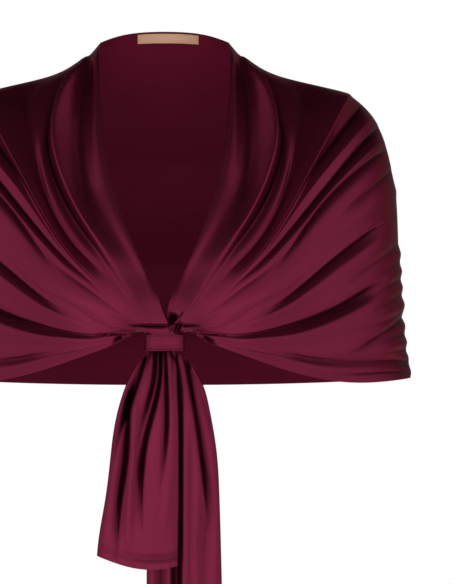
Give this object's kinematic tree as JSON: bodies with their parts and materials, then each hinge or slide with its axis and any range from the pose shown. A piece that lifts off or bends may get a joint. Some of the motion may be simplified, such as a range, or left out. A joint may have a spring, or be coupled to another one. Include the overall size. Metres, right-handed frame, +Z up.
{
  "type": "evening stole",
  "caption": "Satin evening stole worn as a short cape, both ends gathered through a keeper band on the chest and hanging as tails.",
  "frame": {"origin": "base of the neck on the line of the shoulders, where the wearer holds the stole up", "axes": "+Z up, the front faces -Y, +X to the viewer's right"},
  "size_m": [0.4676, 0.2646, 0.6261],
  "materials": {
    "satin": "burgundy satin, soft sheen",
    "label": "plain woven label tape"
  },
  "bodies": {
    "root": {"back": "satin", "front_left": "satin", "front_right": "satin", "tail_short": "satin", "tail_long": "satin", "keeper_band": "satin", "neck_label": "label"}
  },
  "joints": []
}
